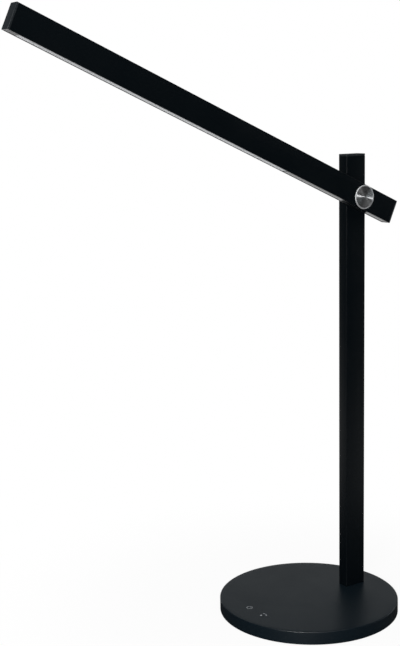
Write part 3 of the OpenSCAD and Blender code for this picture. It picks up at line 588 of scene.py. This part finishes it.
def post():
    """The upright bar with the hinge's hole, and the cap on it."""
    outer, inner = box_outline(BAR_W, BAR_D, CORNER_R), box_outline(CAVITY_W, CAVITY_D, CAVITY_R)
    foot, head, at = BASE_TOP, POST_TOP - CAP_T, (POST_X, 0)
    tube = solid("tube", loft([along_z(outer, foot, at), along_z(outer, head, at),
                               along_z(inner, head, at), along_z(inner, foot, at)],
                              ring_shape=True))
    cut(tube, rod(STUD_HOLE_R, 4.0, shift(POST_X, 2 - BAR_D / 2, PIVOT_Z) @ spin(QUARTER, "X")))
    dress(tube, "post_bar", "bar_black", STAND, "post_tube", soft_angle=30.0)

    cap = solid("cap", loft([along_z(ring, z, at) for ring, z in plate_rings(BAR_W, BAR_D, head)]))
    w, d, end, lead_in = CAVITY_W - 2 * SLIDE, CAVITY_D - 2 * SLIDE, head - PLUG_L, 0.5
    full, narrow = box_outline(w, d, CAVITY_R), box_outline(w - lead_in, d - lead_in, CAVITY_R)
    join(cap, solid("plug", loft([along_z(narrow, end, at), along_z(full, end + 0.6, at),
                                  along_z(full, head + 0.3, at)])))
    hollow = box_outline(CAVITY_W - 4, CAVITY_D - 4, 0.5)
    cut(cap, solid("hollow", loft([along_z(hollow, end - 1, at), along_z(hollow, head, at)])))
    dress(cap, "post_cap", "cap_black", STAND, "post_top_cap")


# ------------------------------------------------ light bar
def arm_bar():
    """Extruded bar with lips for the strips, ribs for the diode board and the hinge's holes."""
    w, h, cavity = BAR_D / 2, BAR_W / 2, CAVITY_D / 2
    slot = cavity - LIP_W
    lip_r, edge_r, rib_r = 0.35, 0.2, 0.15
    half = [(w, -h, lip_r), (slot, -h, edge_r), (slot, LIP_T - h, edge_r),
            (cavity, LIP_T - h, edge_r)]
    for low in (RIB_LOW, RIB_HIGH):
        half += [(cavity, low, rib_r), (cavity - RIB_W, low, edge_r),
                 (cavity - RIB_W, low + RIB_T, edge_r), (cavity, low + RIB_T, rib_r)]
    half += [(cavity, ROOF, CAVITY_R)]
    other_half = [(-x, y, r) for x, y, r in half[::-1]]
    outline = rounded([(-w, h, CORNER_R), *other_half[::-1], *half[::-1], (w, h, CORNER_R)], 4)
    bar = solid("bar", loft([along_x(outline, TIP_X + CAP_T), along_x(outline, TAIL_X - CAP_T)]))
    towards_front = spin(QUARTER, "X")
    cut(bar, rod(BUSH_HOLE_R, 6.0, shift(0, w + 2, 0) @ towards_front))
    cut(bar, rod(WELL_R, 6.0, shift(0, WALL + RIB_W + REACH - w, 0) @ towards_front))
    bar.data.transform(on_arm_bar)
    dress(bar, "light_bar", "bar_black", ARM, "arm_housing", soft_angle=30.0)


def strip_outline():
    """Section of the underside's strips: a face just inside the lips and a flange above them."""
    face, flange = CAVITY_D / 2 - LIP_W - SLIDE, CAVITY_D / 2 - SLIDE
    low, seat = STRIP_BACK - BAR_W / 2, LIP_T + 0.05 - BAR_W / 2
    top = seat + FLANGE_T
    right = [(face, low, 0.25), (face, seat, 0), (flange, seat, 0.1), (flange, top, 0.2)]
    return rounded(right + [(-x, y, r) for x, y, r in right[::-1]], 4)


def underside_strips():
    for name, slot, node, x0, x1 in (
            ("light_cover", "opal_plastic", "diffuser", TIP_X + CAP_T + TONGUE_L,
             SEAM_X - SEAM_GAP),
            ("tail_strip", "strip_black", "rear_strip", SEAM_X, TAIL_X - CAP_T)):
        strip = solid(name, loft([along_x(strip_outline(), x) for x in (x0, x1)]), on_arm_bar)
        dress(strip, name, slot, ARM, node)


def arm_caps():
    """The plates at both ends of the light bar, their hollow plugs, and the tongue at the tip."""
    fit, low, high = CAVITY_D - 2 * SLIDE, RIB_HIGH + RIB_T + SLIDE, ROOF - SLIDE
    middle, tall, reach_in = (low + high) / 2, high - low, 0.3

    def block(outline, x0, x1):
        raised = [Vector((p.x, p.y + middle)) for p in outline]
        return solid("block", loft([along_x(raised, x0), along_x(raised, x1)]))

    for name, node, end, way in (("tip_plug", "tip_cap", TIP_X, 1),
                                 ("tail_plug", "tail_cap", TAIL_X, -1)):
        inner = end + way * CAP_T
        cap = solid(name, loft([along_x(ring, inner - way * z)
                                for ring, z in plate_rings(BAR_D, BAR_W)]))
        join(cap, block(box_outline(fit, tall, CAVITY_R), inner - way * reach_in,
                        inner + way * PLUG_L))
        cut(cap, block(box_outline(fit - 3.8, tall - 4, 0.5), inner, inner + way * (PLUG_L + 1)))
        if way > 0:
            join(cap, solid("tongue", loft([along_x(strip_outline(), inner - reach_in),
                                            along_x(strip_outline(), inner + TONGUE_L)])))
        cap.data.transform(on_arm_bar)
        dress(cap, name, "cap_black", ARM, node)


def hinge_disc():
    """Turned disc, slightly conical, with a rounded rim; its skirt is in the bar's well."""
    under, skirt, flat_r = DISC_FACE - 1.2, WELL_R - 0.05, DISC_R - DISC_RIM
    top, axis_r, parts = DISC_FACE + DISC_CONE / 2, 0.4, 6
    cone = [(flat_r * k / parts, top - DISC_CONE * k / parts) for k in range(parts, 0, -1)]
    drop = cone[0][1] - under - 0.15
    rim = [(flat_r + DISC_RIM * math.sin(a), cone[0][1] - drop * (1 - math.cos(a)))
           for a in (math.radians(15 * k) for k in range(6, 0, -1))]
    profile = [(axis_r, under), (skirt - 1.2, under), (skirt - 1.2, under - 1.6),
               (skirt, under - 1.6), (skirt, under), (DISC_R - 0.15, under), *rim, *cone,
               (axis_r, top)]
    bm = turned(profile, 160)
    on_rim = [int(face.calc_center_median().xy.length > flat_r and face.normal.z > 0.05)
              for face in bm.faces]
    disc = solid("disc", bm, in_arm @ shift(0, -BAR_D / 2, 0) @ spin(QUARTER, "X"))
    dress(disc, "turned_disc", "turned_aluminium", ARM, "hinge_disc", soft_angle=24.0)
    disc.data.materials.append(finish["smooth_rim"])
    disc.data.polygons.foreach_set("material_index", on_rim)


def diodes():
    """The row of light-emitting diodes: pale bodies with phosphor lenses."""
    body = loft([along_z(box_outline(LED_L, LED_W, 0.2, 2), z) for z in (0, -0.55)])
    lens = loft([along_z(box_outline(w, d, r, 3), z) for w, d, r, z in (
        (2.7, 2.1, 0.6, -0.5), (2.6, 2.0, 0.6, -0.62), (1.8, 1.3, 0.5, -0.7))])
    for name, part, slot in (("diode_bodies", body, "board_white"),
                             ("diode_lenses", lens, "diode_yellow")):
        row = set_out(solid(name, part), slot, Count=LED_COUNT, Step=(LED_PITCH, 0.0, 0.0),
                      Start=(LED_X0 + LED_L / 2, 0.0, LED_Z))
        row.data.transform(on_arm_bar)
        dress(row, name, slot, ARM, "led_chips")


base_cover()
touch_marks()
base_screws()
post()
arm_bar()
underside_strips()
arm_caps()
hinge_disc()
diodes()


# ------------------------------------------------ camera, floor, light
SENSOR = 36.0                          # millimetres
FOCAL_PX, IMAGE_H = 1230.457, 646.0    # focal length and height of the image, in pixels
EYE = (-0.809204, -1.045660, 0.565461)    # metres
YAW, PITCH, ROLL = 32.687, 10.116, -1.193
BEHIND = (0.6, 0.8, 0.0)               # from the camera past the lamp, along the floor
SWEEP_WAY, GLOW_WAY = (0.75, 0.66, 0.0), (0.99, -0.10, 0.01)
UPWARDS = (0.0, 0.0, 1.0)
# levels that only reflections show: the floor at three places (painted shade round the lamp, paler
# further off, white behind it), the room, and the glow
FLOOR_SHADE_PAINTED, FLOOR_AWAY, FLOOR_BEHIND = 0.03, 0.55, 0.88
ROOM_FRONT, ROOM_BEHIND, GLOW = 0.008, 0.135, 1.9
ROOM_SOFT = 0.3                        # level of the soft light from all round
WHITE_NEAR = 0.93                      # share of white in the floor next to the lamp


def set_camera():
    data = bpy.data.cameras.new("camera")
    data.sensor_width, data.lens = SENSOR, FOCAL_PX / IMAGE_H * SENSOR
    data.clip_start, data.clip_end = 0.05, 50.0
    yaw, pitch, roll = (math.radians(a) for a in (YAW, PITCH, ROLL))
    ahead = Vector((math.sin(yaw) * math.cos(pitch), math.cos(yaw) * math.cos(pitch),
                    -math.sin(pitch)))
    right = Vector((math.cos(yaw), -math.sin(yaw), 0.0))
    up = right.cross(ahead)
    x = right * math.cos(roll) + up * math.sin(roll)
    y = up * math.cos(roll) - right * math.sin(roll)
    camera = bpy.data.objects.new("camera", data)
    bpy.context.scene.collection.objects.link(camera)
    camera.matrix_world = shift(*EYE) @ Matrix((x, y, -ahead)).transposed().to_4x4()
    bpy.context.scene.camera = camera


def seen_directly(tree, path):
    """1 where the camera sees the surface itself, also through clear material."""
    return put(tree, "ShaderNodeMath", {0: path.outputs["Is Camera Ray"],
                                        1: path.outputs["Is Transmission Ray"]},
               operation="MAXIMUM").outputs["Value"]


def set_floor():
    """A pale floor that keeps the lamp's shadow near it and goes over into the white behind."""
    outline = box_outline(3000.0, 3400.0, 300.0)
    floor = solid("floor", loft([along_z(outline, z, (1050.0, 1200.0)) for z in (-1.0, 0.0)]))
    floor.data.transform(Matrix.Scale(MM, 4))
    made = bpy.data.materials.new("pale_floor")
    made.use_nodes = True
    tree = made.node_tree
    tree.nodes.clear()
    out = tree.nodes.new("ShaderNodeOutputMaterial")
    place = tree.nodes.new("ShaderNodeTexCoord").outputs["Object"]
    path = tree.nodes.new("ShaderNodeLightPath")
    glossy = path.outputs["Is Glossy Ray"]

    grit = put(tree, "ShaderNodeTexNoise", {"Vector": place, "Scale": 60.0, "Detail": 3.0})
    tone = mix_colours(tree, grit.outputs["Fac"], (0.80, 0.80, 0.80), (0.83, 0.83, 0.83))
    matt = put(tree, "ShaderNodeBsdfDiffuse", {"Color": tone})

    # in reflections the floor carries painted shade round the lamp, is paler further off and white
    # behind it
    far = put(tree, "ShaderNodeVectorMath", {0: place}, operation="LENGTH").outputs["Value"]
    behind = put(tree, "ShaderNodeVectorMath", {0: place, 1: BEHIND},
                 operation="DOT_PRODUCT").outputs["Value"]
    # painted shade: the floor's level in reflections is kept low next to the lamp
    painted_shade_round = ramp(tree, far, 0.25, 0.6, FLOOR_SHADE_PAINTED, FLOOR_AWAY)
    mirrored = ramp(tree, behind, 0.1, 0.6, painted_shade_round, FLOOR_BEHIND)
    strength = put(tree, "ShaderNodeMix", {"Factor": glossy, 2: 1.0, 3: mirrored})
    white = put(tree, "ShaderNodeEmission", {"Color": (1, 1, 1, 1),
                                             "Strength": strength.outputs[0]})

    whiteness = ramp(tree, far, 0.12, 0.42, WHITE_NEAR, 1.0)
    share = put(tree, "ShaderNodeMath", {0: seen_directly(tree, path), 1: whiteness, 2: glossy},
                operation="MULTIPLY_ADD")
    top = put(tree, "ShaderNodeMixShader", {0: share.outputs["Value"], 1: matt.outputs["BSDF"],
                                            2: white.outputs["Emission"]})
    tree.links.new(top.outputs["Shader"], out.inputs["Surface"])
    floor.data.materials.append(made)


def set_world():
    """White to the camera; in reflections a dim room, white low behind the lamp, glow at right."""
    world = bpy.data.worlds.new("studio")
    bpy.context.scene.world = world
    world.use_nodes = True
    tree = world.node_tree
    background = tree.nodes["Background"]
    way = tree.nodes.new("ShaderNodeTexCoord").outputs["Generated"]
    path = tree.nodes.new("ShaderNodeLightPath")
    glossy = path.outputs["Is Glossy Ray"]

    def facing(direction, start, end, low, high):
        """A level that changes as the ray turns towards this direction."""
        share = put(tree, "ShaderNodeVectorMath", {0: way, 1: direction}, operation="DOT_PRODUCT")
        return ramp(tree, share.outputs["Value"], start, end, low, high)

    sweep = put(tree, "ShaderNodeMath", {0: facing(SWEEP_WAY, 0.35, 0.85, 0.0, 1.0),
                                         1: facing(UPWARDS, 0.02, 0.16, 1.0, 0.0)},
                operation="MULTIPLY")
    room = facing(BEHIND, 0.0, 0.9, ROOM_FRONT, ROOM_BEHIND)
    mirror = put(tree, "ShaderNodeMix", {"Factor": sweep.outputs["Value"], 2: room, 3: 1.0})
    glow = put(tree, "ShaderNodeMath", {0: facing(GLOW_WAY, 0.92, 1.0, 0.0, GLOW),
                                        1: mirror.outputs[0]}, operation="ADD")
    soft = put(tree, "ShaderNodeMix", {"Factor": glossy, 2: ROOM_SOFT,
                                        3: glow.outputs["Value"]})
    level = put(tree, "ShaderNodeMix", {"Factor": seen_directly(tree, path), 2: soft.outputs[0],
                                        3: 1.0})
    tree.links.new(level.outputs[0], background.inputs["Strength"])
    tint = mix_colours(tree, glossy, (1, 1, 1), (0.90, 0.97, 1.0))
    tree.links.new(tint, background.inputs["Color"])


def softbox(name, place, aim, size, power):
    """A soft rectangular lamp at a place, turned to its aim; metres and watts."""
    data = bpy.data.lights.new(name, "AREA")
    data.shape, data.size, data.size_y, data.energy = "RECTANGLE", *size, power
    lamp = bpy.data.objects.new(name, data)
    bpy.context.scene.collection.objects.link(lamp)
    lamp.location = place
    lamp.rotation_mode = "QUATERNION"
    lamp.rotation_quaternion = (Vector(aim) - Vector(place)).to_track_quat("-Z", "Y")


set_camera()
set_floor()
set_world()
softbox("overhead", (-0.35, -0.35, 1.9), (-0.05, 0.0, 0.2), (1.5, 1.2), 9.0)
softbox("front_left", (-1.6, -1.4, 0.9), (0.06, 0.0, 0.4), (0.5, 0.6), 39.0)
softbox("rear", (0.65, 1.0, 0.16), (0.0, 0.0, 0.02), (1.6, 0.2), 0.8)
bpy.context.scene.view_settings.view_transform = "Standard"
